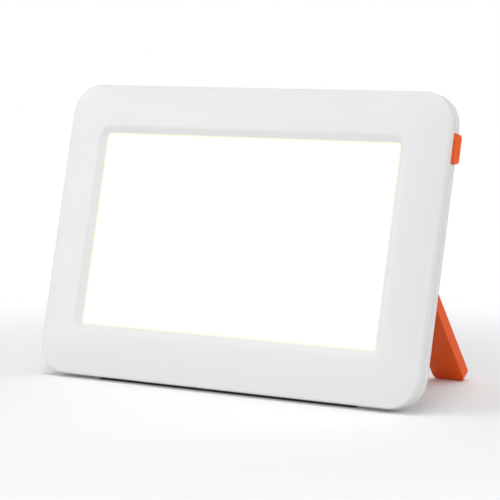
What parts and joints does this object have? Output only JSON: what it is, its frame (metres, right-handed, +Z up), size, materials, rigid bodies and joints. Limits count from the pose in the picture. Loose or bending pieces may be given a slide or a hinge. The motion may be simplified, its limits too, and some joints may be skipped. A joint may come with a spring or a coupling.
{
  "type": "light therapy lamp",
  "caption": "Flat lit-panel therapy lamp that leans back on a swivelling, folding orange leg, with a push button in its side and an inlet for its lead.",
  "frame": {"origin": "centre of the sole of the rubber strip under the case, on the floor", "axes": "+X to the right as seen from the front, along the case; +Y from the lit face towards the leg; +Z up"},
  "size_m": [0.2368, 0.1149, 0.154],
  "materials": {
    "white_shell": "fine satin moulded white plastic",
    "lit_screen": "opal acrylic, lit from behind",
    "opal_film": "frosted film",
    "clear_acrylic": "clear acrylic with printed dots",
    "white_film": "matt white",
    "sheet_aluminium": "rolled sheet",
    "circuit_board": "green solder mask",
    "black_plastic": "matt black",
    "ferrite": "dark sintered ferrite",
    "brass": "plain",
    "steel": "zinc plated",
    "dark_rubber": "matt",
    "orange_plastic": "satin moulded orange plastic"
  },
  "bodies": {
    "case": {"front_bezel": "white_shell", "rear_cover": "white_shell", "diffuser_panel": "lit_screen", "diffuser_film": "opal_film", "light_guide": "clear_acrylic", "reflector_sheet": "white_film", "backing_tray": "sheet_aluminium", "led_board_top": "circuit_board", "led_board_bottom": "circuit_board", "driver_board": "circuit_board", "inductor": "ferrite", "capacitor": "sheet_aluminium", "driver_chip": "black_plastic", "lead_connector_top": "white_film", "lead_connector_bottom": "white_film", "dc_jack": "black_plastic", "dc_jack_pin": "brass", "led_lead_top": "black_plastic", "led_lead_bottom": "black_plastic", "switch_lead": "black_plastic", "switch_board": "circuit_board", "tact_switch": "black_plastic", "foot_strip": "dark_rubber", "case_screw_1": "steel", "case_screw_2": "steel", "case_screw_3": "steel", "case_screw_4": "steel", "case_screw_5": "steel", "case_screw_6": "steel", "tray_screw_1": "steel", "tray_screw_2": "steel", "tray_screw_3": "steel", "tray_screw_4": "steel", "board_screw_1": "steel", "board_screw_2": "steel"},
    "button": {"power_button": "orange_plastic", "switch_stem": "white_film"},
    "turntable": {"stand_turntable": "orange_plastic", "retaining_clip": "steel", "friction_washer_left": "steel", "friction_washer_right": "steel"},
    "leg": {"stand_leg": "orange_plastic", "hinge_pin": "steel"}
  },
  "joints": [
    {"name": "button_press", "type": "slide", "parent": "case", "child": "button", "axis": [-1, 0, 0], "range_m": [0, 0.0006], "stiffness_N_per_m": 1500, "springref_m": -0.0004},
    {"name": "stand_swivel", "type": "hinge", "parent": "case", "child": "turntable", "pos_m": [0.0735, 0.0283, 0.10212], "axis": [0, 0.9733, -0.2295], "range_deg": [0, 90]},
    {"name": "stand_fold", "type": "hinge", "parent": "turntable", "child": "leg", "pos_m": [0.0735, 0.03175, 0.1013], "axis": [1, 0, 0], "range_deg": [-49.07, 0]}
  ]
}
